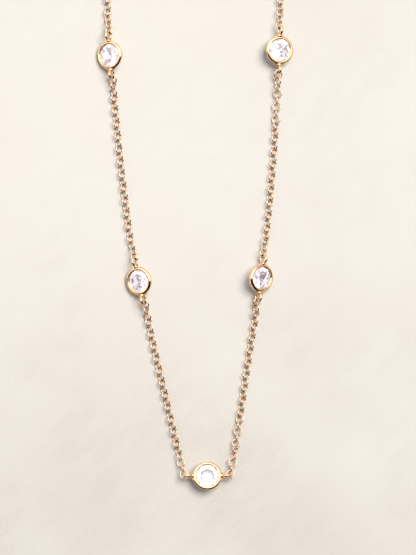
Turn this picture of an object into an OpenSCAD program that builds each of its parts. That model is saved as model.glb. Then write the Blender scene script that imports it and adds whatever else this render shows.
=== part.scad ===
// Station necklace, laid out on a flat surface: seven round cut stones in open-backed bezels, runs of
// round cable links between them, and a clasp. The surface is z = 0 and the origin is the middle of the
// ground that the necklace covers. It is followed from the front stone (item 0) up the right strand,
// round the back by the clasp (item 4) and down the left strand.

/* [Stone] */
// Diameter of a stone at its girdle
stone_d = 5.7; // [5:0.1:6.4]
// Diameter across the corners of the table
table_d = 3.3; // [2.8:0.1:3.8]
// Height of the crown, from the girdle up to the table
crown_h = 0.85; // [0.6:0.05:1.1]
// Thickness of the girdle
girdle_h = 0.12; // [0.06:0.02:0.2]
// Depth of the pavilion, from the girdle down to the point
pavilion_h = 2.3; // [2:0.05:2.6]

/* [Setting] */
// Gap between a stone and the metal round it
stone_gap = 0.04; // [0.03:0.01:0.06]
// Thickness of the bezel's wall beside the girdle
bezel_wall = 0.28; // [0.22:0.02:0.4]
// Height of the bezel
bezel_h = 1.35; // [1.2:0.05:1.7]
// How far the foot of the bezel draws in from its widest radius
foot_inset = 0.37; // [0.2:0.02:0.5]
// Thickness of the bezel's foot
foot_wall = 0.3; // [0.2:0.02:0.4]
// Width of the lip that is turned over the stone's edge
lip_w = 0.72; // [0.6:0.02:0.8]
// Height of the lip's rounded section
lip_t = 0.54; // [0.46:0.02:0.6]
// Thickness of an eye's wire
eye_wire = 0.38; // [0.3:0.02:0.46]
// Outer diameter of an eye
eye_d = 2.35; // [2.2:0.05:2.6]
// Height of an eye's middle above the bezel's foot
eye_h = 0.9; // [0.7:0.05:1.1]
// Width, beside the eye, of the shoulder that runs from the bezel out to it
shoulder_w = 1; // [0.6:0.1:1.4]
// Thickness of a shoulder
shoulder_t = 0.5; // [0.4:0.05:0.7]
// Share of a right angle, each way from its eye, along which a shoulder meets the bezel
shoulder_share = 0.48; // [0.3:0.02:0.55]
// Diameter of the bead of solder on the lip beside each eye
solder_d = 0.8; // [0.6:0.02:0.9]

/* [Chain] */
// Thickness of a link's wire
link_wire = 0.24; // [0.2:0.01:0.28]
// Inner diameter of a link
link_hole = 1.56; // [1.46:0.01:1.7]
// Clearance where a link hooks in its neighbour or in an eye
link_gap = 0.12; // [0.11:0.01:0.14]
// Links in each run between two stones
run_links = 29; // [25:2:33]
// Links in each of the two runs beside the clasp
end_links = 28; // [24:2:30]
// Share of a pitch by which the two runs beside the front stone lie slack
front_slack = 0.03; // [0:0.005:0.05]

/* [Clasp] */
// Length of the clasp's body
clasp_l = 9; // [7:0.5:12]
// Width of the clasp's wide end
clasp_w = 4.6; // [4:0.2:6]
// Width of the clasp's narrow end
clasp_tail_w = 2.6; // [2:0.2:3.2]
// Thickness of the clasp's body
clasp_t = 1.6; // [1.2:0.1:2]
// Diameter of the hole through the wide end
clasp_hole_d = 2.4; // [2:0.1:3]

/* [Hidden] */

// Where the strands run, from the front setting's eye on their own side up to the start of the back
// curve: the right strand, then the left one, each point measured from that eye
chain_route = [
    [[0, 0], [0.3, 1.6], [0.65, 3.2], [1.3, 7], [2.3, 13.6], [4.3, 27], [5.6, 35], [7, 44.2],
     [8.2, 55], [9.6, 70], [10.5, 85], [11, 95], [11.1, 106], [11.1, 135], [11.1, 164]],
    [[0, 0], [-0.35, 1.5], [-0.75, 3], [-1.75, 7], [-3.3, 13.6], [-6.45, 27], [-8.2, 35], [-10.3, 43.7],
     [-12.2, 54], [-14.2, 70], [-15.7, 85], [-16.7, 94], [-17, 106], [-17, 135], [-17, 164]]
];
// Roll of the first, the middle and the last links of each run about its own line, 0 for a first link
// that lies flat: rows of share of the run and degrees, between the two rolls that its ends take
roll_rows = [
    [[0.07, 0], [0.18, 88], [0.26, 88], [0.36, 45], [0.9, 45]],
    [[0.08, 45], [0.68, 45], [0.8, 88], [0.88, 88]],
    [[0.1, 45], [0.9, 45]],
    [[0.1, 45], [0.8, 50]],
    [[0.1, 45], [0.85, 50]],
    [[0.1, 45], [0.9, 45]],
    [[0.1, 45], [0.4, 52], [0.6, 40], [0.9, 45]],
    [[0.1, 45], [0.85, 45], [0.95, 5]]
];
// Columns: tilt of the item's face away from the middle of the necklace, and how far below the level of
// its eye's middle the next link hooks, both in degrees round the eye
ITEM_TILT = 0;
ITEM_HANG = 1;
items = [
    [-8, 40],
    [37, 60],
    [19, 60],
    [25, 70],
    [0, 20],
    [25, 70],
    [31, 70],
    [29, 70]
];
front = 0;
clasp_item = 4;
// Links of a run that come down from an eye to the surface
slope_links = 3;
steps = 6;

// Stone, with its middle plane at the foot of the bezel
stone_r = stone_d / 2;
table_r = table_d / 2;
crown_angle = atan(crown_h / (stone_r - table_r));
pavilion_angle = atan(pavilion_h / stone_r);
pocket_r = stone_r + stone_gap;
bezel_r = pocket_r + bezel_wall;
lip_r = bezel_r - lip_w / 2;
lip_z = bezel_h - lip_t / 2;
// The crown's steepest edges, which run up from the girdle to the stars, just clear the lip
star_r = (stone_r + table_r) / 2;
star_rise = crown_h - (star_r * cos(360 / 16) - table_r) * tan(crown_angle);
edge_angle = atan(star_rise / (stone_r - star_r));
lip_reach = sqrt(pow(lip_w / 2 * sin(edge_angle), 2) + pow(lip_t / 2 * cos(edge_angle), 2));
girdle_top = lip_z - (lip_reach + stone_gap) / cos(edge_angle) - (stone_r - lip_r) * tan(edge_angle);
girdle_foot = girdle_top - girdle_h;
point_z = girdle_foot - pavilion_h;
foot_r = bezel_r - foot_inset;

// Eyes and links
eye_r = (eye_d - eye_wire) / 2;
eye_x = bezel_r + eye_d / 2;
link_r = (link_hole + link_wire) / 2;
pitch = link_hole - link_gap;
near_r = eye_r - eye_wire / 2 - link_gap - link_wire / 2;
front_hook = link_hole / 4;

// Clasp, lying on the surface
clasp_eye_x = clasp_l / 2 + eye_d / 2 - link_wire;
clasp_eye_z = eye_d / 2 + link_gap;
clasp_tail_r = clasp_tail_w / 2;
clasp_head_r = clasp_w / 2;

function unit(v) = v / norm(v);
function tilt(k) = items[k][ITEM_TILT];
function hang(k) = items[k][ITEM_HANG];
function links(k) = k == clasp_item - 1 || k == clasp_item ? end_links : run_links;
function run_pitch(k) = pitch * (k == 0 || k == 7 ? 1 - front_slack : 1);
// From the place where a run hooks in an eye to the middle of its first link
function hook(k) = k % 8 == front ? front_hook : link_r;
function slope_l(k, run) = hook(k) + slope_links * run_pitch(run);

// Height of an item's eyes above the surface: a setting lies on its stone's point or on its foot
function eye_level(k) =
    k == clasp_item
        ? clasp_eye_z
        : max(
            (eye_h - point_z) * cos(tilt(k)),
            eye_h * cos(tilt(k)) + foot_r * sin(abs(tilt(k)))
        );
// A link hangs in its eye by the side of its wire, or at the front is pulled along the eye's own wire
function hang_r(k) = k == front ? eye_r : near_r;
// Distance from an item's middle to the point, seen from above, where a run hooks in its eye
function reach(k) = (k == clasp_item ? clasp_eye_x : eye_x) + hang_r(k) * cos(hang(k));

// Roll about the strand, at a share of a run, of the links that lie as its first one does
function end_roll(k) = k % 8 == front ? 0 : tilt(k % 8);
function roll(k, share) = lookup(
    share,
    concat(
        [[0, end_roll(k)]],
        roll_rows[k],
        [[1, end_roll(k + 1) + (links(k) % 2 == 0 ? 90 : 0)]]
    )
);
// Height of the strand where its links lie on the surface
function lie_z(k, share) = link_wire / 2 + link_r * max(abs(sin(roll(k, share))), abs(cos(roll(k, share))));

// A run's length from eye to eye, and what its two ends that come down to the surface measure on it
function run_l(k) = hook(k) + hook(k + 1) + (links(k) - 1) * run_pitch(k);
function hook_z(k) = eye_level(k % 8) - hang_r(k % 8) * sin(hang(k % 8)) * cos(tilt(k % 8));
function hook_side(k) = -hang_r(k % 8) * sin(hang(k % 8)) * sin(tilt(k % 8));
function slope_plan(k, run, share) = sqrt(
    pow(slope_l(k, run), 2) - pow(hook_z(k) - lie_z(run, share), 2) - pow(hook_side(k), 2)
);
function start_share(k) = slope_l(k, k) / run_l(k);
function end_share(k) = 1 - slope_l(k + 1, k) / run_l(k);
function start_plan(k) = slope_plan(k, k, start_share(k));
function end_plan(k) = slope_plan(k + 1, k, end_share(k));
function run_plan(k) = run_l(k) - slope_l(k, k) - slope_l(k + 1, k) + start_plan(k) + end_plan(k);

// The route at a given scale: right strand, half circle round the back, left strand
function strand(side, scale) = [for (p = chain_route[side]) scale * p + [(side == 0 ? 1 : -1) * reach(front), 0]];
function reversed(v) = [for (i = [len(v) - 1:-1:0]) v[i]];
function back_curve(a, b) =
    let (r = (a[0] - b[0]) / 2)
    [for (turn = [15:15:165]) [(a[0] + b[0]) / 2 + r * cos(turn), (a[1] + b[1]) / 2 + r * sin(turn)]];
function corners(scale) =
    let (right = strand(0, scale), left = strand(1, scale))
    concat(right, back_curve(right[len(right) - 1], left[len(left) - 1]), reversed(left));

// A smooth curve through the route's corners
function running(points) = [
    for (i = 0, sum = 0; i < len(points); i = i + 1, sum = sum + (i < len(points) ? norm(points[i] - points[i - 1]) : 0)) sum
];
function curve(p) =
    let (
        t = running(p),
        last = len(p) - 1,
        lean = [for (i = [0:last]) (p[min(i + 1, last)] - p[max(i - 1, 0)]) / (t[min(i + 1, last)] - t[max(i - 1, 0)])]
    )
    concat(
        [
            for (i = [0:last - 1], j = [0:steps - 1])
                let (h = t[i + 1] - t[i], u = j / steps)
                (2 * pow(u, 3) - 3 * pow(u, 2) + 1) * p[i] + (pow(u, 3) - 2 * pow(u, 2) + u) * h * lean[i]
                    + (3 * pow(u, 2) - 2 * pow(u, 3)) * p[i + 1] + (pow(u, 3) - pow(u, 2)) * h * lean[i + 1]
        ],
        [p[last]]
    );
function total(points) = running(points)[len(points) - 1];

// The route is scaled so that the links and settings just fill it
function sum_to(k) = k < 0 ? 0 : run_plan(k) + (k < 7 ? 2 * reach(k + 1) : 0) + sum_to(k - 1);
loop_plan = sum_to(7);
function fitted(scale, tries) =
    tries == 0 ? scale : fitted(scale * loop_plan / total(curve(corners(scale))), tries - 1);
path = curve(corners(fitted(1, 6)));
path_t = running(path);
path_x = [for (i = [0:len(path) - 1]) [path_t[i], path[i][0]]];
path_y = [for (i = [0:len(path) - 1]) [path_t[i], path[i][1]]];
function on_path(t) = [lookup(t, path_x), lookup(t, path_y)];

// Places along the route where a run starts and ends, and an item's middle and line
function run_start(k) = sum_to(k - 1);
function run_end(k) = run_start(k) + run_plan(k);
function line_of(k) = k == front ? [1, 0, 0] : let (d = unit(on_path(run_start(k)) - on_path(run_end(k - 1)))) [d[0], d[1], 0];
function middle_of(k) =
    let (p = k == front ? [0, 0] : (on_path(run_start(k)) + on_path(run_end(k - 1))) / 2)
    [p[0], p[1], eye_level(k)];
function outward(line) = unit(cross(line, [0, 0, 1]));
function face_of(k) = cos(tilt(k)) * [0, 0, 1] + sin(tilt(k)) * outward(line_of(k));
function eye_hook(k, side) = middle_of(k) + side * reach(k) * line_of(k) - hang_r(k) * sin(hang(k)) * face_of(k);

// A point on a run, at a length from its first eye
function at_height(p, z) = [p[0], p[1], z];
function run_point(k, s) =
    let (
        next = (k + 1) % 8,
        down = slope_l(k, k),
        up = run_l(k) - slope_l(k + 1, k),
        low_a = at_height(on_path(run_start(k) + start_plan(k)), lie_z(k, start_share(k))),
        low_b = at_height(on_path(run_end(k) - end_plan(k)), lie_z(k, end_share(k)))
    )
    s < down ? eye_hook(k, 1) + s / down * (low_a - eye_hook(k, 1))
    : s > up ? low_b + (s - up) / (run_l(k) - up) * (eye_hook(next, -1) - low_b)
    : at_height(on_path(run_start(k) + start_plan(k) + s - down), lie_z(k, s / run_l(k)));
function link_s(k, i) = hook(k) + i * run_pitch(k);
function link_line(k, i) = unit(
    run_point(k, min(link_s(k, i) + pitch / 2, run_l(k))) - run_point(k, max(link_s(k, i) - pitch / 2, 0))
);
function link_normal(k, i) =
    let (
        line = link_line(k, i),
        out = outward(line),
        turn = roll(k, i / (links(k) - 1)) + 90 * (i % 2)
    )
    cos(turn) * cross(out, line) + sin(turn) * out;
// A link that leans rests on the surface with its lowest edge
function link_middle(k, i) =
    let (p = run_point(k, link_s(k, i)), normal = link_normal(k, i))
    at_height(p, max(p[2], link_wire / 2 + link_r * sqrt(max(0, 1 - normal[2] * normal[2]))));

// Middle of the ground that the necklace covers
back_y = max([for (p = path) p[1]]) + clasp_head_r;
left_x = middle_of(5)[0] - bezel_r;
right_x = middle_of(3)[0] + bezel_r;
middle = [(left_x + right_x) / 2, (back_y - bezel_r) / 2, 0];

module place(at, line, normal) {
    side = cross(normal, line);
    p = at - middle;
    multmatrix([
        [line[0], side[0], normal[0], p[0]],
        [line[1], side[1], normal[1], p[1]],
        [line[2], side[2], normal[2], p[2]],
        [0, 0, 0, 1]
    ]) children();
}

module ring(mean_r, wire) {
    rotate_extrude($fn = 48) translate([mean_r, 0]) circle(d = wire, $fn = 24);
}

module link() {
    color("goldenrod") ring(link_r, link_wire);
}

module eye(side, from_middle) {
    translate([side * from_middle, 0, 0]) rotate([90, 0, 0]) ring(eye_r, eye_wire);
}

// The bezel's wall in section, from its foot up into the lip: the seat runs along the stone's pavilion
module bezel() {
    seat_r = foot_r - foot_wall;
    seat_edge_r = stone_r + stone_gap / sin(pavilion_angle);
    seat_z = girdle_foot - (seat_edge_r - seat_r) * tan(pavilion_angle);
    shoulder_z = girdle_foot;
    rotate_extrude($fn = 96) {
        polygon([
            [seat_r, 0],
            [foot_r, 0],
            [bezel_r - link_gap / 2, shoulder_z],
            [bezel_r - link_gap / 2, lip_z],
            [pocket_r, lip_z],
            [pocket_r, girdle_foot - (seat_edge_r - pocket_r) * tan(pavilion_angle)],
            [seat_r, seat_z]
        ]);
        translate([lip_r, lip_z]) scale([lip_w / lip_t, 1]) circle(d = lip_t, $fn = 32);
    }
}

// A flat shoulder that narrows from the bezel's wall to the eye
module shoulder(side) {
    turn = 90 * shoulder_share;
    tip_x = bezel_r + 1.5 * eye_wire;
    translate([0, 0, -shoulder_t / 2]) difference() {
        linear_extrude(shoulder_t) polygon([
            [side * bezel_r * cos(turn), bezel_r * sin(turn)],
            [side * tip_x, shoulder_w / 2],
            [side * tip_x, -shoulder_w / 2],
            [side * bezel_r * cos(turn), -bezel_r * sin(turn)]
        ]);
        translate([0, 0, -shoulder_t]) cylinder(h = 3 * shoulder_t, r = pocket_r + bezel_wall / 2, $fn = 96);
    }
}

module setting() {
    color("goldenrod") {
        translate([0, 0, -eye_h]) bezel();
        for (side = [-1, 1]) {
            eye(side, eye_x);
            shoulder(side);
            translate([side * bezel_r, 0, lip_z - eye_h]) sphere(d = solder_d, $fn = 32);
        }
    }
}

// A round brilliant: rings of corners from the table down to the point, and the facets between them
module stone() {
    half = 360 / 16;
    star_z = girdle_top + star_rise;
    low_r = stone_r * 0.25;
    low_z = point_z + low_r * cos(half) * tan(pavilion_angle);
    table_ring = [for (i = [0:7]) [table_r * cos(2 * i * half), table_r * sin(2 * i * half), girdle_top + crown_h]];
    star_ring = [for (i = [0:7]) [star_r * cos((2 * i + 1) * half), star_r * sin((2 * i + 1) * half), star_z]];
    top_ring = [for (i = [0:15]) [stone_r * cos(i * half), stone_r * sin(i * half), girdle_top]];
    foot_ring = [for (i = [0:15]) [stone_r * cos(i * half), stone_r * sin(i * half), girdle_foot]];
    low_ring = [for (i = [0:7]) [low_r * cos((2 * i + 1) * half), low_r * sin((2 * i + 1) * half), low_z]];
    corners = concat(table_ring, star_ring, top_ring, foot_ring, low_ring, [[0, 0, point_z]]);
    table = 0;
    star = 8;
    top = 16;
    foot = 32;
    low = 48;
    tip = 56;
    facets = concat(
        [[for (i = [7:-1:0]) table + i]],
        [for (i = [0:7]) [table + i, table + (i + 1) % 8, star + i]],
        [for (i = [0:7]) [star + i, top + 2 * i, table + i]],
        [for (i = [0:7]) [star + i, table + (i + 1) % 8, top + (2 * i + 2) % 16]],
        [for (i = [0:7]) [star + i, top + 2 * i + 1, top + 2 * i]],
        [for (i = [0:7]) [star + i, top + (2 * i + 2) % 16, top + 2 * i + 1]],
        [for (i = [0:15]) [top + i, top + (i + 1) % 16, foot + (i + 1) % 16]],
        [for (i = [0:15]) [top + i, foot + (i + 1) % 16, foot + i]],
        [for (i = [0:7]) [foot + 2 * i, foot + 2 * i + 1, low + i]],
        [for (i = [0:7]) [foot + 2 * i + 1, foot + (2 * i + 2) % 16, low + i]],
        [for (i = [0:7]) [foot + 2 * i, low + i, tip]],
        [for (i = [0:7]) [low + i, foot + (2 * i + 2) % 16, tip]]
    );
    color("lavender") translate([0, 0, -eye_h]) polyhedron(corners, facets);
}

// A closed clasp with a round hole in its wide end and an eye at each end
module clasp() {
    tail_x = clasp_tail_r - clasp_l / 2;
    head_x = clasp_l / 2 - clasp_head_r;
    lean = asin((clasp_head_r - clasp_tail_r) / (head_x - tail_x));
    color("goldenrod") {
        translate([0, 0, -clasp_eye_z]) difference() {
            union() {
                translate([tail_x, 0, 0]) cylinder(h = clasp_t, r = clasp_tail_r, $fn = 48);
                translate([head_x, 0, 0]) cylinder(h = clasp_t, r = clasp_head_r, $fn = 64);
                linear_extrude(clasp_t) polygon([
                    [tail_x - clasp_tail_r * sin(lean), clasp_tail_r * cos(lean)],
                    [tail_x - clasp_tail_r * sin(lean), -clasp_tail_r * cos(lean)],
                    [head_x - clasp_head_r * sin(lean), -clasp_head_r * cos(lean)],
                    [head_x - clasp_head_r * sin(lean), clasp_head_r * cos(lean)]
                ]);
            }
            translate([head_x, 0, -clasp_t / 2]) cylinder(h = 2 * clasp_t, d = clasp_hole_d, $fn = 48);
        }
        for (side = [-1, 1]) eye(side, clasp_eye_x);
    }
}

module chain(k) {
    for (i = [0:links(k) - 1]) place(link_middle(k, i), link_line(k, i), link_normal(k, i)) link();
}

stone_items = [for (k = [0:7]) if (k != clasp_item) k];
for (n = [1:7]) {
    k = stone_items[n - 1];
    place(middle_of(k), line_of(k), face_of(k)) setting();
    place(middle_of(k), line_of(k), face_of(k)) stone();
}
for (n = [1:8]) chain(n - 1);
place(middle_of(clasp_item), line_of(clasp_item), face_of(clasp_item)) clasp();
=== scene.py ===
# Station necklace lying on a pale plaster surface: rose-gold bezels, cut stones and cable links.
# Run with Blender 4.5. Everything is in metres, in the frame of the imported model.
import math

import bmesh
import bpy
from mathutils import Matrix, Vector


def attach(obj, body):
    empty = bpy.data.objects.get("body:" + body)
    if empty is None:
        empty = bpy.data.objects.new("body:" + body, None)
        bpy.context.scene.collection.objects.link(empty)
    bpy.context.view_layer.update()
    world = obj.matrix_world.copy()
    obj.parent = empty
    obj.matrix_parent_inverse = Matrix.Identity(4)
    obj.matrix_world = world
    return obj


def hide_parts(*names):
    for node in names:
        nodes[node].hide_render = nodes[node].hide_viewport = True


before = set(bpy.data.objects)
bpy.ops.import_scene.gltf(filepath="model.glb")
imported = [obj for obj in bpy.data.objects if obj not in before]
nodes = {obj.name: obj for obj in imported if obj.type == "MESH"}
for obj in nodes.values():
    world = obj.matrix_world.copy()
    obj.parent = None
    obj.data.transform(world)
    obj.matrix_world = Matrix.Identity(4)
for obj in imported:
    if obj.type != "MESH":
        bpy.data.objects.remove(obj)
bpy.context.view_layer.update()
mm = 0.001
stationNumbers = range(1, 8)
runNumbers = range(1, 9)
print("packed model loaded:", len(nodes), "nodes")


def linear(hexColour):
    # sRGB hex to the linear values that Blender's sockets take
    channels = [int(hexColour[i : i + 2], 16) / 255 for i in (1, 3, 5)]
    return [c / 12.92 if c <= 0.04045 else ((c + 0.055) / 1.055) ** 2.4 for c in channels] + [1]


# settings that many nodes share
inColour = {"data_type": "RGBA"}
smoothly = {"interpolation_type": "SMOOTHSTEP"}


def addNode(tree, kind, settings=None, **inputs):
    # adds a node; an input is a value, a socket to link from, or a node whose first output in use
    # is linked, and at6 is the input with the number 6
    node = tree.nodes.new(kind)
    for key, value in (settings or {}).items():
        setattr(node, key, value)
    for key, value in inputs.items():
        socket = node.inputs[int(key[2:]) if key.startswith("at") else key.replace("_", " ")]
        if isinstance(value, bpy.types.Node):
            value = next(output for output in value.outputs if output.enabled)
        if isinstance(value, bpy.types.NodeSocket):
            tree.links.new(value, socket)
        else:
            socket.default_value = value
    return node


def startMaterial(name):
    material = bpy.data.materials.new(name)
    material.use_nodes = True
    material.node_tree.nodes.clear()
    return material, material.node_tree


def addPiece(name, build, material):
    # turns a bmesh into an object, with its faces turned outward
    mesh = bpy.data.meshes.new(name)
    bmesh.ops.recalc_face_normals(build, faces=build.faces[:])
    if build.calc_volume(signed=True) < 0:
        bmesh.ops.reverse_faces(build, faces=build.faces[:])
    build.to_mesh(mesh)
    build.free()
    mesh.materials.append(material)
    piece = bpy.data.objects.new(name, mesh)
    bpy.context.scene.collection.objects.link(piece)
    return piece


def ridePiece(piece, cadName):
    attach(piece, "root")
    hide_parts(cadName)


def islands(cadObject):
    # the loose solids of a CAD node, each as the list of its corners
    sameSpot = 1e-7
    build = bmesh.new()
    build.from_mesh(cadObject.data)
    build.transform(cadObject.matrix_world)
    bmesh.ops.remove_doubles(build, verts=build.verts[:], dist=sameSpot)
    seen = set()
    solids = []
    for start in build.verts:
        if start in seen:
            continue
        seen.add(start)
        waiting = [start]
        corners = []
        while waiting:
            corner = waiting.pop()
            corners.append(corner.co.copy())
            for edge in corner.link_edges:
                other = edge.other_vert(corner)
                if other not in seen:
                    seen.add(other)
                    waiting.append(other)
        solids.append(corners)
    build.free()
    return solids


def middleOf(corners):
    return sum(corners, Vector()) / len(corners)


def within(normal, line):
    # the part of a line that lies in the plane across the normal
    return (line - line.dot(normal) * normal).normalized()


def placeOn(origin, line, normal):
    side = normal.cross(line)
    return Matrix.Translation(origin) @ Matrix((line, side, normal)).transposed().to_4x4()


# The photograph looks straight down and takes in 92.9 x 123.9 mm at half the stones' height.
cameraView = {
    "middle": (3.12 * mm, -47.98 * mm),
    "height": 0.9,
    "frameHeight": 123.9 * mm,
    "frameLevel": 2.5 * mm,
    "sensorHeight": 36,
    "clipStart": 0.01,
}
cameraDistance = cameraView["height"] - cameraView["frameLevel"]
cameraData = bpy.data.cameras.new("camera")
cameraData.sensor_fit = "VERTICAL"
cameraData.sensor_height = cameraView["sensorHeight"]
cameraData.lens = cameraView["sensorHeight"] * cameraDistance / cameraView["frameHeight"]
cameraData.clip_start = cameraView["clipStart"]
camera = bpy.data.objects.new("camera", cameraData)
camera.location = (*cameraView["middle"], cameraView["height"])
bpy.context.scene.collection.objects.link(camera)
bpy.context.scene.camera = camera
print("camera placed")


# Rose gold over brass, polished and tumbled: a warm mirror with a soft skin, in which a white
# ceiling turns pale yellow. Where wires cross and where the lip meets the stone, little light
# reaches, and a dark brown painted shade is mixed into the plate's colour there; it reaches further
# on the links than on the settings. Spacings and reaches are in mm. Tumbling marks are finer, and
# are drawn just coarse enough to show.
goldPlate = {
    "colour": "#F7D8AC",
    "deepColour": "#F1CA9C",
    # the links take a paler copy of the plate colour, a painted highlight that makes their crests
    # whiter
    "highlightedWireColour": "#F8DCBE",
    "toneSpacing": 1.2,
    "tone": {"From_Min": 0.3, "From_Max": 0.7},
    "markSpacing": 0.12,
    "roughness": {"From_Min": 0.3, "From_Max": 0.7, "To_Min": 0.09, "To_Max": 0.18},
    "boredRoughness": 0.35,
    "paintedShade": {
        "colour": "#3A140A",
        "reach": 0.34,
        "unshadedShare": {"From_Min": 0.42, "From_Max": 0.76},
    },
    "linkPaintedShade": {
        "colour": "#803408",
        "reach": 0.66,
        "unshadedShare": {"From_Min": 0.6, "From_Max": 0.9},
    },
    "paintedShadeSamples": 8,
}


def makeGoldPlate(name, brightColour, paintedShade):
    material, tree = startMaterial(name)
    place = addNode(tree, "ShaderNodeTexCoord").outputs["Object"]
    toneScale = 1 / (goldPlate["toneSpacing"] * mm)
    tones = addNode(tree, "ShaderNodeTexNoise", Vector=place, Scale=toneScale, Detail=1.0)
    tone = addNode(tree, "ShaderNodeMapRange", smoothly, Value=tones, **goldPlate["tone"])
    colour = addNode(
        tree,
        "ShaderNodeMix",
        inColour,
        at0=tone,
        at6=linear(brightColour),
        at7=linear(goldPlate["deepColour"]),
    )
    # how open a spot is to what is round it, and so how much dark brown painted shade is mixed in
    openness = addNode(
        tree,
        "ShaderNodeAmbientOcclusion",
        {"samples": goldPlate["paintedShadeSamples"]},
        Distance=paintedShade["reach"] * mm,
    ).outputs["AO"]
    unshadedShare = addNode(tree, "ShaderNodeMapRange", smoothly, Value=openness, **paintedShade["unshadedShare"])
    # painted shade: hidden spots take the dark brown shade colour in place of the plate's
    withPaintedShade = addNode(
        tree, "ShaderNodeMix", inColour, at0=unshadedShare, at6=linear(paintedShade["colour"]), at7=colour
    )
    # tumbling leaves patches that are a little duller
    markScale = 1 / (goldPlate["markSpacing"] * mm)
    marks = addNode(tree, "ShaderNodeTexNoise", Vector=place, Scale=markScale, Detail=2.0)
    rough = addNode(tree, "ShaderNodeMapRange", Value=marks, **goldPlate["roughness"])
    shader = addNode(
        tree, "ShaderNodeBsdfPrincipled", Base_Color=withPaintedShade, Metallic=1.0, Roughness=rough
    )
    addNode(tree, "ShaderNodeOutputMaterial", Surface=shader)
    return material


# Cubic zirconia, ground and polished to flat facets: clear and bright, with a faint cool cast. Its
# sparkles are far too small to draw one by one; in their place the stone has a faint painted glow
# that lifts the dark facets a little. Its IOR is under the real 2.15, at which paths with many inner
# reflections are cut off and leave black facets. What lies behind a stone is painted pale through
# it, a painted glow with dark gaps, their spacing in mm.
zirconia = {
    "colour": "#FBF9FC",
    "ior": 1.95,
    "roughness": 0.0,
    "paintedGlowColour": "#ECE2EA",
    "paintedGlow": 0.1,
    "paintedGlowBehind": "#F9F3F6",
    "paintedGapsBehind": "#5A3A44",
    "gapSpacing": 1.1,
    "gaps": {"From_Min": 0.54, "From_Max": 0.59},
}


def paintGlowBehindStones(tree, place, shader):
    # seen through a stone, a surface shows a painted glow, pale with dark gaps, that stands in for
    # the light the stone gathers
    gapScale = 1 / (zirconia["gapSpacing"] * mm)
    spots = addNode(tree, "ShaderNodeTexNoise", Vector=place, Scale=gapScale, Detail=1.0)
    gaps = addNode(tree, "ShaderNodeMapRange", smoothly, Value=spots, **zirconia["gaps"])
    colour = addNode(
        tree,
        "ShaderNodeMix",
        inColour,
        at0=gaps,
        at6=linear(zirconia["paintedGlowBehind"]),
        at7=linear(zirconia["paintedGapsBehind"]),
    )
    behindGlowShader = addNode(tree, "ShaderNodeEmission", Color=colour)
    # the painted glow lights nothing else: rays that come from the plaster find the plain surface
    rays = addNode(tree, "ShaderNodeLightPath").outputs
    direct = addNode(
        tree, "ShaderNodeMapRange", Value=rays["Diffuse Depth"], To_Min=1.0, To_Max=0.0
    )
    inStone = addNode(
        tree,
        "ShaderNodeMath",
        {"operation": "MULTIPLY"},
        at0=rays["Is Transmission Ray"],
        at1=direct,
    )
    surface = addNode(tree, "ShaderNodeMixShader", at0=inStone, at1=shader, at2=behindGlowShader)
    addNode(tree, "ShaderNodeOutputMaterial", Surface=surface)


def makeBezelInside():
    # the bored wall behind a stone: the same plate, left duller
    material, tree = startMaterial("boredRoseGoldWall")
    place = addNode(tree, "ShaderNodeTexCoord").outputs["Object"]
    shader = addNode(
        tree,
        "ShaderNodeBsdfPrincipled",
        Base_Color=linear(goldPlate["deepColour"]),
        Metallic=1.0,
        Roughness=goldPlate["boredRoughness"],
    )
    paintGlowBehindStones(tree, place, shader)
    return material


def makeZirconia():
    material, tree = startMaterial("polishedZirconia")
    shader = addNode(
        tree,
        "ShaderNodeBsdfPrincipled",
        Base_Color=linear(zirconia["colour"]),
        Roughness=zirconia["roughness"],
        IOR=zirconia["ior"],
        Transmission_Weight=1.0,
        # a faint painted glow over the whole stone
        Emission_Color=linear(zirconia["paintedGlowColour"]),
        Emission_Strength=zirconia["paintedGlow"],
    )
    addNode(tree, "ShaderNodeOutputMaterial", Surface=shader)
    return material


# Fine plaster, trowelled smooth and left matt: cream, with broad soft clouds, patches of faint
# slanting trowel strokes that show more on the near part, and a shallow grain. Spacings and depth
# are in mm. A painted shade darkens the near part, coming in over a stretch of y in metres, further
# off on the left, and the right side of the far part is painted darker too. Pores keep the shine
# low.
plaster = {
    "farColour": "#EFE8DD",
    "farRightColour": "#E9E2D7",
    "right": {"From_Min": -0.03, "From_Max": 0.05},
    "nearColour": "#DFD7CB",
    "far": {"From_Min": -0.115, "From_Max": -0.02},
    "lean": {"From_Min": -0.04, "From_Max": 0.05, "To_Max": 0.012},
    "cloudColour": "#EEEADE",
    "cloudSpacing": 34,
    "clouds": {"From_Min": 0.4, "From_Max": 0.7, "To_Max": 0.5},
    "strokeColour": "#D2CABF",
    "strokeSpacing": 3.8,
    "strokeStretch": 2.3,
    "strokeTurn": 0.8,
    "strokes": {"From_Min": 0.38, "From_Max": 0.62},
    "strokeShare": {"To_Min": 0.3, "To_Max": 0.08},
    "patchSpacing": 24,
    "patches": {"From_Min": 0.42, "From_Max": 0.6, "To_Min": 0.02},
    "grainSpacing": 0.9,
    "grainDepth": 0.12,
    "grainStrength": {"To_Min": 0.7, "To_Max": 0.3},
    "roughness": 0.85,
    "ior": 1.3,
    "reach": 0.9,  # metres each way
    "drop": 0.02,  # mm under the lowest metal
}


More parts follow.
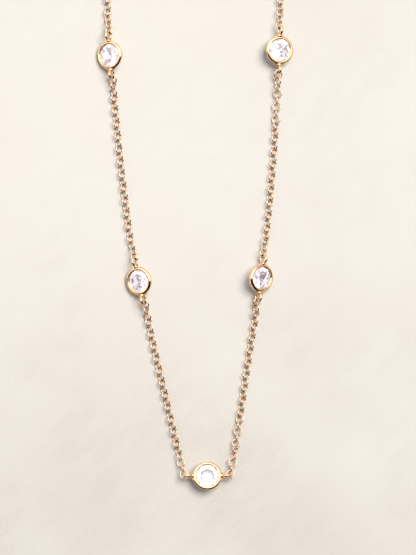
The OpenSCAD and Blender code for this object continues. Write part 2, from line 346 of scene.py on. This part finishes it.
def makePlaster():
    material, tree = startMaterial("trowelledPlaster")
    place = addNode(tree, "ShaderNodeTexCoord").outputs["Object"]
    x, y, _ = addNode(tree, "ShaderNodeSeparateXYZ", Vector=place).outputs
    # painted shade: darker towards the near side, and on the right of the far part
    lean = addNode(tree, "ShaderNodeMapRange", Value=x, **plaster["lean"])
    depth = addNode(tree, "ShaderNodeMath", {"operation": "ADD"}, at0=y, at1=lean)
    far = addNode(tree, "ShaderNodeMapRange", smoothly, Value=depth, **plaster["far"])
    right = addNode(tree, "ShaderNodeMapRange", smoothly, Value=x, **plaster["right"])
    farShade = addNode(
        tree,
        "ShaderNodeMix",
        inColour,
        at0=right,
        at6=linear(plaster["farColour"]),
        at7=linear(plaster["farRightColour"]),
    )
    shade = addNode(
        tree, "ShaderNodeMix", inColour, at0=far, at6=linear(plaster["nearColour"]), at7=farShade
    )
    cloudScale = 1 / (plaster["cloudSpacing"] * mm)
    cloudNoise = addNode(tree, "ShaderNodeTexNoise", Vector=place, Scale=cloudScale, Detail=3.0)
    clouds = addNode(tree, "ShaderNodeMapRange", Value=cloudNoise, **plaster["clouds"])
    cloudy = addNode(
        tree, "ShaderNodeMix", inColour, at0=clouds, at6=shade, at7=linear(plaster["cloudColour"])
    )
    # strokes are noise drawn out along their slant
    along = addNode(
        tree,
        "ShaderNodeMapping",
        {"vector_type": "TEXTURE"},
        Vector=place,
        Rotation=(0, 0, plaster["strokeTurn"]),
        Scale=(plaster["strokeStretch"], 1, 1),
    )
    strokeScale = 1 / (plaster["strokeSpacing"] * mm)
    strokeNoise = addNode(tree, "ShaderNodeTexNoise", Vector=along, Scale=strokeScale, Detail=3.0)
    share = addNode(tree, "ShaderNodeMapRange", Value=far, **plaster["strokeShare"])
    patchScale = 1 / (plaster["patchSpacing"] * mm)
    patchNoise = addNode(tree, "ShaderNodeTexNoise", Vector=place, Scale=patchScale, Detail=1.0)
    pressure = addNode(
        tree, "ShaderNodeMapRange", smoothly, Value=patchNoise, To_Max=share, **plaster["patches"]
    )
    strokes = addNode(
        tree, "ShaderNodeMapRange", Value=strokeNoise, To_Max=pressure, **plaster["strokes"]
    )
    colour = addNode(
        tree,
        "ShaderNodeMix",
        inColour,
        at0=strokes,
        at6=cloudy,
        at7=linear(plaster["strokeColour"]),
    )
    grainScale = 1 / (plaster["grainSpacing"] * mm)
    grain = addNode(tree, "ShaderNodeTexNoise", Vector=place, Scale=grainScale, Detail=3.0)
    bump = addNode(
        tree,
        "ShaderNodeBump",
        Height=grain,
        Strength=addNode(tree, "ShaderNodeMapRange", Value=far, **plaster["grainStrength"]),
        Distance=plaster["grainDepth"] * mm,
    )
    shader = addNode(
        tree,
        "ShaderNodeBsdfPrincipled",
        Base_Color=colour,
        Roughness=plaster["roughness"],
        IOR=plaster["ior"],
        Normal=bump,
    )
    paintGlowBehindStones(tree, place, shader)
    return material


goldPlateMaterial = makeGoldPlate(
    "polishedRoseGoldPlate", goldPlate["colour"], goldPlate["paintedShade"]
)
goldWireMaterial = makeGoldPlate(
    "tumbledRoseGoldWire", goldPlate["highlightedWireColour"], goldPlate["linkPaintedShade"]
)
bezelInsideMaterial = makeBezelInside()
zirconiaMaterial = makeZirconia()
plasterMaterial = makePlaster()
print("materials made")


# A cable link of drawn wire, bent a touch longer than wide. Its sizes are in mm, and it sits where
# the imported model's link sits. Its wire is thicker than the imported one, as polish and light make
# it look.
cableLink = {
    "along": 0.89,
    "across": 0.845,
    "wireRadius": 0.15,
    "ringSteps": 40,
    "wireSteps": 14,
}


def addRing(build, matrix, along, across, wireRadius, wireWidth, ringSteps, wireSteps):
    # a closed oval of wire; the wire's width is its half size across the oval's plane
    rows = []
    for i in range(ringSteps):
        turn = 2 * math.pi * i / ringSteps
        middle = Vector((along * math.cos(turn), across * math.sin(turn), 0))
        out = Vector((across * math.cos(turn), along * math.sin(turn), 0)).normalized()
        row = []
        for j in range(wireSteps):
            roll = 2 * math.pi * j / wireSteps
            point = middle + wireRadius * math.cos(roll) * out
            point.z = wireWidth * math.sin(roll)
            row.append(build.verts.new(matrix @ (point * mm)))
        rows.append(row)
    for i in range(ringSteps):
        for j in range(wireSteps):
            near, far = rows[i], rows[(i + 1) % ringSteps]
            k = (j + 1) % wireSteps
            build.faces.new((near[j], far[j], far[k], near[k])).smooth = True


def thinnest(corners):
    # the direction in which a flat ring's corners spread least; each turn through the inverse of
    # their spread brings the guess nearer to it
    turns = 60
    littleSpread = 1e-4
    middle = middleOf(corners)
    spread = Matrix(((0, 0, 0), (0, 0, 0), (0, 0, 0)))
    for corner in corners:
        d = (corner - middle) / mm
        for i in range(3):
            for j in range(3):
                spread[i][j] += d[i] * d[j] / len(corners)
    inverse = (spread + Matrix.Identity(3) * littleSpread).inverted()
    guess = Vector((0.31, 0.53, 0.79))
    for _ in range(turns):
        guess = (inverse @ guess).normalized()
    return guess


for run in runNumbers:
    name = "chain_%d" % run
    build = bmesh.new()
    rings = islands(nodes[name])
    middles = [middleOf(corners) for corners in rings]
    for corners, middle in zip(rings, middles):
        normal = thinnest(corners)
        others = [m for m in middles if m is not middle]
        line = within(normal, min(others, key=lambda m: (m - middle).length) - middle)
        side = normal.cross(line)
        # a link that would sink into the surface is lifted onto it
        lean = math.hypot(cableLink["along"] * line.z, cableLink["across"] * side.z)
        needed = (lean + cableLink["wireRadius"]) * mm
        middle = middle + Vector((0, 0, max(0, needed - middle.z)))
        addRing(
            build,
            placeOn(middle, line, normal),
            cableLink["along"],
            cableLink["across"],
            cableLink["wireRadius"],
            cableLink["wireRadius"],
            cableLink["ringSteps"],
            cableLink["wireSteps"],
        )
    ridePiece(addPiece("cableLinks_%d" % run, build, goldWireMaterial), name)
print("links made")


# A round brilliant, in mm, from its point up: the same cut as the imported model's, with a round
# girdle. It is cut from a blank, and each stone was set at a turn of its own. Corners that fall
# together are joined.
brilliant = {
    "girdleRadius": 2.85,
    "tableRadius": 1.65,
    "crownHeight": 0.85,
    "girdleHeight": 0.12,
    "pavilionDepth": 2.3,
    "girdleSteps": 96,
    "lowFacetLift": 0.75,
    "blankHeight": 8,
    "join": 2e-3,
    "shortestEdge": 1e-4,
    "turnEach": 0.35,
}

# The bezel's wall in section, radius and height above its foot in mm: a bead round the foot, a
# flared side and a broad lip rolled over the stone. A small step runs along the lip's inner edge,
# where the tool has burnished it down. The foot lies higher than the stone's point.
bezel = {
    "outside": [
        (2.5, 0.0),
        (2.78, 0.0),
        (2.82, 0.02),
        (2.85, 0.06),
        (2.87, 0.1),
        (2.87, 0.15),
        (2.85, 0.185),
        (2.865, 0.225),
        (2.95, 0.31),
        (3.04, 0.43),
        (3.1, 0.56),
        (3.14, 0.7),
    ],
    "lip": [
        (3.165, 0.86),
        (3.158, 1.0),
        (3.142, 1.09),
        (3.115, 1.155),
        (3.05, 1.215),
        (2.97, 1.27),
        (2.89, 1.315),
        (2.81, 1.34),
        (2.72, 1.35),
        (2.64, 1.34),
        (2.57, 1.31),
        (2.52, 1.26),
        (2.49, 1.19),
        (2.475, 1.12),
        (2.45, 1.07),
        (2.39, 1.05),
        (2.365, 1.035),
        (2.37, 1.015),
        (2.42, 1.0),
        (2.475, 0.985),
    ],
    "inside": [
        (2.89, 0.64),
        (2.9, 0.6),
        (2.9, 0.44),
        (2.87, 0.405),
        (2.51, 0.112),
        (2.47, 0.06),
        (2.47, 0.015),
    ],
    "steps": 128,
    "footToPoint": 1.85519,
}

# Eyes of the bezels and the clasp, in mm, the shoulders that run out to them and their beads of
# solder. A shoulder is two bars and the thin web between them. The far tip of an eye tells how it
# lies.
eye = {
    "height": 0.9,
    "ringRadius": 0.985,
    "wireRadius": 0.19,
    "wireWidth": 0.27,
    "middle": 4.345,
    "ringSteps": 56,
    "wireSteps": 16,
    "barStart": (2.52, 1.52),
    "barEnd": (3.42, 0.24),
    "barRadii": (0.2, 0.26),
    "barSteps": 24,
    "webInside": 3.02,
    "webHalfHeight": 0.2,
    "webSteps": 16,
    "thinnestWeb": 0.01,
    "beadMiddle": (3.26, 1.1),
    "beadSize": (0.46, 0.5, 0.34),
    "ballDivisions": 3,
    "tip": 0.4,
}


def cutWith(build, point, normal):
    # keeps what lies behind the plane and closes the cut with one facet
    onPlane = 1e-9
    everything = build.verts[:] + build.edges[:] + build.faces[:]
    cut = bmesh.ops.bisect_plane(
        build, geom=everything, dist=onPlane, plane_co=point, plane_no=normal, clear_outer=True
    )
    rim = [e for e in cut["geom_cut"] if isinstance(e, bmesh.types.BMEdge)]
    if len(rim) > 2:
        bmesh.ops.edgenet_fill(build, edges=rim)


def around(radius, turn, height=0.0):
    return Vector((radius * math.cos(turn), radius * math.sin(turn), height))


def leaning(turn, slope):
    # a facet's outward normal: turn about the axis, slope away from it
    return around(math.sin(slope), turn, math.cos(slope))


def planeThrough(a, b, c):
    normal = (b - a).cross(c - a).normalized()
    return -normal if normal.dot(a) < 0 else normal


def cutBrilliant():
    radius = brilliant["girdleRadius"]
    table = brilliant["tableRadius"]
    crown = brilliant["crownHeight"]
    depth = brilliant["pavilionDepth"]
    halfGirdle = brilliant["girdleHeight"] / 2
    facets = 8
    half = math.pi / facets
    crownSlope = math.atan2(crown, radius - table)
    pavilionSlope = math.atan2(depth, radius)
    starRadius = (radius + table) / 2
    starHeight = crown - (starRadius * math.cos(half) - table) * math.tan(crownSlope)
    lowRadius = radius * (1 - brilliant["lowFacetLift"])
    lowHeight = -depth + lowRadius * math.cos(half) * math.tan(pavilionSlope)
    build = bmesh.new()
    bmesh.ops.create_cone(
        build,
        cap_ends=True,
        segments=brilliant["girdleSteps"],
        radius1=radius,
        radius2=radius,
        depth=brilliant["blankHeight"],
    )
    top = Vector((0, 0, halfGirdle))
    foot = Vector((0, 0, -halfGirdle))
    cutWith(build, top + Vector((0, 0, crown)), Vector((0, 0, 1)))
    for i in range(facets):
        turn = 2 * half * i
        rim = around(radius, turn)
        cutWith(build, rim + top, leaning(turn, crownSlope))
        cutWith(build, rim + foot, leaning(turn, math.pi - pavilionSlope))
    for i in range(facets):
        turn = 2 * half * i
        between = turn + half
        after = turn + 2 * half
        star = around(starRadius, between, starHeight)
        low = around(lowRadius, between, lowHeight)
        tableEdge = planeThrough(around(table, turn, crown), around(table, after, crown), star)
        cutWith(build, star + top, tableEdge)
        for a, b in ((turn, between), (between, after)):
            first = around(radius, a)
            second = around(radius, b)
            cutWith(build, first + top, planeThrough(first, second, star))
            cutWith(build, first + foot, planeThrough(first, second, low))
    bmesh.ops.remove_doubles(build, verts=build.verts[:], dist=brilliant["join"])
    bmesh.ops.dissolve_degenerate(build, edges=build.edges[:], dist=brilliant["shortestEdge"])
    build.transform(Matrix.Translation((0, 0, depth + halfGirdle)))
    return build


def addRows(build, rows, firstInside=None):
    # joins closed rows of corners into a ring; its inside can have the second material
    inside = len(rows[0]) if firstInside is None else firstInside
    for i in range(len(rows)):
        near, far = rows[i], rows[(i + 1) % len(rows)]
        for j in range(len(near)):
            k = (j + 1) % len(near)
            face = build.faces.new((near[j], far[j], far[k], near[k]))
            face.smooth = True
            face.material_index = int(j >= inside)


def addLathe(build, matrix, outline, steps, firstInside):
    rows = []
    for i in range(steps):
        turn = 2 * math.pi * i / steps
        corners = [around(radius, turn, height) * mm for radius, height in outline]
        rows.append([build.verts.new(matrix @ corner) for corner in corners])
    addRows(build, rows, firstInside)


def addBall(build, matrix, middle, size):
    scale = Matrix.Diagonal((*[s * mm for s in size], 1))
    ball = bmesh.ops.create_icosphere(
        build,
        subdivisions=eye["ballDivisions"],
        radius=1,
        matrix=matrix @ Matrix.Translation(middle * mm) @ scale,
    )
    for vert in ball["verts"]:
        for face in vert.link_faces:
            face.smooth = True


def addBar(build, matrix, start, end, radii):
    # a round bar between two points, rounded at its ends
    turn = (end - start).to_track_quat("Z", "Y").to_matrix().to_4x4()
    bar = bmesh.ops.create_cone(
        build,
        cap_ends=True,
        segments=eye["barSteps"],
        radius1=radii[0] * mm,
        radius2=radii[1] * mm,
        depth=(end - start).length * mm,
        matrix=matrix @ Matrix.Translation((start + end) / 2 * mm) @ turn,
    )
    for vert in bar["verts"]:
        for face in vert.link_faces:
            face.smooth = len(face.verts) == 4
    addBall(build, matrix, start, [radii[0]] * 3)
    addBall(build, matrix, end, [radii[1]] * 3)


def addEye(build, matrix, middle, wireWidth):
    # a round ring of wire that stands on edge
    addRing(
        build,
        matrix @ Matrix.Translation(middle * mm) @ Matrix.Rotation(math.pi / 2, 4, "X"),
        eye["ringRadius"],
        eye["ringRadius"],
        eye["wireRadius"],
        wireWidth,
        eye["ringSteps"],
        eye["wireSteps"],
    )


def addWeb(build, matrix, side):
    # the thin sheet between the wall and the two bars of a shoulder
    steps = eye["webSteps"]
    (x1, y1), (x2, y2) = eye["barStart"], eye["barEnd"]
    widest = math.atan2(y1, x1)
    columns = []
    for i in range(steps + 1):
        turn = widest * (2 * i / steps - 1)
        # how far out the bar's middle line, or the web's end between the bars, lies that way
        slope = (y1 - y2) / (x2 - x1)
        toBar = (y1 + slope * x1) / (abs(math.sin(turn)) + slope * math.cos(turn))
        out = min(toBar, x2 / math.cos(turn))
        way = Vector((side * math.cos(turn), math.sin(turn), 0))
        column = []
        for radius in (min(eye["webInside"], out - eye["thinnestWeb"]), out):
            for up in (-1, 1):
                point = way * radius
                point.z = eye["height"] + up * eye["webHalfHeight"]
                column.append(build.verts.new(matrix @ (point * mm)))
        columns.append(column)
    for near, far in zip(columns, columns[1:]):
        for a, b in ((0, 1), (1, 3), (3, 2), (2, 0)):
            build.faces.new((near[a], near[b], far[b], far[a]))
    for column in (columns[0], columns[-1]):
        build.faces.new((column[0], column[1], column[3], column[2]))


def largestFacet(cadObject):
    # the outward normal of a faceted solid's largest facet, which on a stone is its table
    turn = cadObject.matrix_world.to_3x3()
    areas = {}
    for face in cadObject.data.polygons:
        normal = (turn @ face.normal).normalized()
        key = tuple(round(c, 2) for c in normal)
        area, total = areas.get(key, (0, Vector()))
        areas[key] = (area + face.area, total + normal * face.area)
    return max(areas.values(), key=lambda entry: entry[0])[1].normalized()


def stationFrame(number):
    # where a stone's point is, the way it faces and the way its chain runs
    stone = nodes["stone_%d" % number]
    normal = largestFacet(stone)
    point = min(islands(stone)[0], key=lambda corner: corner.dot(normal))
    setting = max(islands(nodes["setting_%d" % number]), key=len)
    far = max(setting, key=lambda corner: (corner - point).cross(normal).length)
    tip = [corner for corner in setting if (corner - far).length < eye["tip"] * mm]
    return point, within(normal, middleOf(tip) - point), normal


for number in stationNumbers:
    point, line, normal = stationFrame(number)

    stoneBuild = cutBrilliant()
    stoneTurn = Matrix.Rotation(brilliant["turnEach"] * number, 4, "Z")
    stoneBuild.transform(placeOn(point, line, normal) @ stoneTurn @ Matrix.Scale(mm, 4))
    stone = addPiece("brilliant_%d" % number, stoneBuild, zirconiaMaterial)
    ridePiece(stone, "stone_%d" % number)

    build = bmesh.new()
    whole = placeOn(point + normal * bezel["footToPoint"] * mm, line, normal)
    outward = bezel["outside"] + bezel["lip"]
    addLathe(build, whole, outward + bezel["inside"], bezel["steps"], len(outward))
    for side in (-1, 1):
        addEye(build, whole, Vector((side * eye["middle"], 0, eye["height"])), eye["wireWidth"])
        for up in (-1, 1):
            (x1, y1), (x2, y2) = eye["barStart"], eye["barEnd"]
            start = Vector((side * x1, up * y1, eye["height"]))
            end = Vector((side * x2, up * y2, eye["height"]))
            addBar(build, whole, start, end, eye["barRadii"])
        addWeb(build, whole, side)
        beadOut, beadUp = eye["beadMiddle"]
        addBall(build, whole, Vector((side * beadOut, 0, beadUp)), eye["beadSize"])
    setting = addPiece("bezelSetting_%d" % number, build, goldPlateMaterial)
    setting.data.materials.append(bezelInsideMaterial)
    ridePiece(setting, "setting_%d" % number)
print("settings and stones made")


# The clasp: a flat drop with rounded edges and a hole, in mm, with an eye at each end. It lies
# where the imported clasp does.
clasp = {
    "middle": (-0.5519, 92.1859),
    "line": (-0.999554, -0.0298731),
    "tail": (-3.2, 1.3),
    "head": (2.2, 2.3),
    "holeRadius": 1.2,
    "thickness": 1.6,
    "rounding": 0.35,
    "roundingSteps": 6,
    "holeRounding": 0.5,
    "eyeMiddle": 5.435,
    "eyeHeight": 1.295,
    "arcSteps": 40,
    "sideSteps": 16,
}


def claspOutline(inset):
    # two round ends and the straight sides between them, drawn in by the inset
    (tailX, tailR), (headX, headR) = clasp["tail"], clasp["head"]
    lean = math.asin((headR - tailR) / (headX - tailX))
    quarter = math.pi / 2

    def arc(x, radius, first, sweep):
        turns = [first + sweep * i / clasp["arcSteps"] for i in range(clasp["arcSteps"] + 1)]
        return [Vector((x, 0, 0)) + around(radius - inset, turn) for turn in turns]

    def straight(a, b):
        return [a.lerp(b, i / clasp["sideSteps"]) for i in range(1, clasp["sideSteps"])]

    head = arc(headX, headR, -(quarter + lean), 2 * (quarter + lean))
    tail = arc(tailX, tailR, quarter + lean, 2 * (quarter - lean))
    return head + straight(head[-1], tail[0]) + tail + straight(tail[-1], head[0])


def addClaspBody(build, matrix):
    # each row runs up the outer edge at one place and back down the hole's edge beside it
    rounding = clasp["rounding"]
    levels = []
    for i in range(clasp["roundingSteps"] + 1):
        turn = math.pi / 2 * i / clasp["roundingSteps"]
        levels.append((rounding * (1 - math.sin(turn)), rounding * (1 - math.cos(turn))))
    edge = levels + [(inset, clasp["thickness"] - height) for inset, height in reversed(levels)]
    outlines = [(claspOutline(inset), height) for inset, height in edge]
    hole = Vector((clasp["head"][0], 0, 0))
    rows = []
    for place, corner in enumerate(outlines[0][0]):
        turn = math.atan2(corner.y, corner.x - hole.x)
        row = [Vector((*outline[place].xy, height)) for outline, height in outlines]
        for inset, height in reversed(edge):
            radius = clasp["holeRadius"] + inset * clasp["holeRounding"]
            row.append(hole + around(radius, turn, height))
        rows.append([build.verts.new(matrix @ (corner * mm)) for corner in row])
    addRows(build, rows)


build = bmesh.new()
claspLine = Vector((*clasp["line"], 0)).normalized()
claspPlace = placeOn(Vector((*clasp["middle"], 0)) * mm, claspLine, Vector((0, 0, 1)))
addClaspBody(build, claspPlace)
for side in (-1, 1):
    eyePlace = Vector((side * clasp["eyeMiddle"], 0, clasp["eyeHeight"]))
    addEye(build, claspPlace, eyePlace, eye["wireRadius"])
ridePiece(addPiece("dropClasp", build, goldPlateMaterial), "clasp")
print("clasp made")


reach = plaster["reach"]
floorCorners = [(-reach, -reach, 0), (reach, -reach, 0), (reach, reach, 0), (-reach, reach, 0)]
floorMesh = bpy.data.meshes.new("plasterFloor")
floorMesh.from_pydata(floorCorners, [], [(0, 1, 2, 3)])
floorMesh.materials.append(plasterMaterial)
floor = bpy.data.objects.new("plasterFloor", floorMesh)
floor.location.z = -plaster["drop"] * mm
bpy.context.scene.collection.objects.link(floor)

# One wide soft box stands to the upper right, far enough off to light the whole surface evenly.
softBox = {"from": (0.64, 0.64, 1.78), "size": 1.2, "watts": 43, "colour": "#FDFDFF"}
aim = Vector((cameraView["middle"][0], cameraView["middle"][1], 0))
lightData = bpy.data.lights.new("softBox", "AREA")
lightData.shape = "DISK"
lightData.size = softBox["size"]
lightData.energy = softBox["watts"]
lightData.color = linear(softBox["colour"])[:3]
light = bpy.data.objects.new("softBox", lightData)
light.location = aim + Vector(softBox["from"])
light.visible_glossy = False
light.rotation_euler = (aim - light.location).to_track_quat("-Z", "Y").to_euler()
bpy.context.scene.collection.objects.link(light)

# The room that shines in the metal and the stones: a bright white ceiling, pale walls, brighter on
# the left, and darkness on the near side, but not straight overhead. The ranges are of the x, y
# and z of a direction, from minus one to one.
room = {
    "ceilingColour": "#FFFFFF",
    "ceilingShine": 2.3,
    "ceiling": {"From_Min": 0.45, "From_Max": 0.85},
    "wallColour": "#FFF0EE",
    "wallShine": {"From_Min": -0.6, "From_Max": 0.6, "To_Min": 1.4, "To_Max": 0.8},
    "nearColour": "#1C0804",
    "near": {"From_Min": -0.04, "From_Max": -0.22},
    "overhead": {"From_Min": 0.999, "From_Max": 0.975},
    "nearInStones": "#EAE2E8",
    "gapsInStones": "#5E4450",
    "farGapsInStones": "#CFC2DC",
    "gapsPerTurn": 7,
    "gaps": {"From_Min": 0.5, "From_Max": 0.58, "To_Max": 0.9},
    "stoneShine": 1.12,
    "fill": 0.15,
    "fillColour": "#EEF2F6",
}


def makeRoom():
    world = bpy.data.worlds.new("room")
    bpy.context.scene.world = world
    world.use_nodes = True
    tree = world.node_tree
    tree.nodes.clear()
    way = addNode(tree, "ShaderNodeTexCoord").outputs["Generated"]
    x, y, z = addNode(tree, "ShaderNodeSeparateXYZ", Vector=way).outputs
    ceiling = addNode(tree, "ShaderNodeMapRange", smoothly, Value=z, **room["ceiling"])
    pale = addNode(
        tree,
        "ShaderNodeMix",
        inColour,
        at0=ceiling,
        at6=linear(room["wallColour"]),
        at7=linear(room["ceilingColour"]),
    )
    nearSide = addNode(tree, "ShaderNodeMapRange", smoothly, Value=y, **room["near"])
    below = addNode(tree, "ShaderNodeMapRange", smoothly, Value=z, **room["overhead"])
    near = addNode(tree, "ShaderNodeMath", {"operation": "MULTIPLY"}, at0=nearSide, at1=below)
    inMetal = addNode(
        tree,
        "ShaderNodeBackground",
        Color=addNode(
            tree, "ShaderNodeMix", inColour, at0=near, at6=pale, at7=linear(room["nearColour"])
        ),
        Strength=addNode(
            tree,
            "ShaderNodeMapRange",
            Value=ceiling,
            To_Min=addNode(tree, "ShaderNodeMapRange", smoothly, Value=x, **room["wallShine"]),
            To_Max=room["ceilingShine"],
        ),
    )
    # light that comes out of a stone has crossed it many times, so the near side looks paler in
    # it, and the room breaks up into small dark gaps
    spots = addNode(
        tree, "ShaderNodeTexNoise", Vector=way, Scale=room["gapsPerTurn"], Detail=1.0
    )
    gaps = addNode(tree, "ShaderNodeMapRange", smoothly, Value=spots, **room["gaps"])
    nearInStones = addNode(
        tree,
        "ShaderNodeMix",
        inColour,
        at0=gaps,
        at6=linear(room["nearInStones"]),
        at7=linear(room["gapsInStones"]),
    )
    farInStones = addNode(
        tree,
        "ShaderNodeMix",
        inColour,
        at0=gaps,
        at6=linear(room["ceilingColour"]),
        at7=linear(room["farGapsInStones"]),
    )
    inStones = addNode(
        tree,
        "ShaderNodeBackground",
        Color=addNode(
            tree, "ShaderNodeMix", inColour, at0=near, at6=farInStones, at7=nearInStones
        ),
        Strength=room["stoneShine"],
    )
    # the plaster takes an even, weaker light from the room, so that the shadows keep their depth
    onPlaster = addNode(
        tree, "ShaderNodeBackground", Color=linear(room["fillColour"]), Strength=room["fill"]
    )
    rays = addNode(tree, "ShaderNodeLightPath").outputs
    seen = addNode(
        tree, "ShaderNodeMixShader", at0=rays["Is Transmission Ray"], at1=inMetal, at2=inStones
    )
    fromPlaster = addNode(tree, "ShaderNodeMapRange", Value=rays["Diffuse Depth"])
    sky = addNode(tree, "ShaderNodeMixShader", at0=fromPlaster, at1=seen, at2=onPlaster)
    addNode(tree, "ShaderNodeOutputWorld", Surface=sky)


makeRoom()
bpy.context.scene.view_settings.view_transform = "Standard"
bpy.context.scene.view_settings.look = "None"
print("light set")
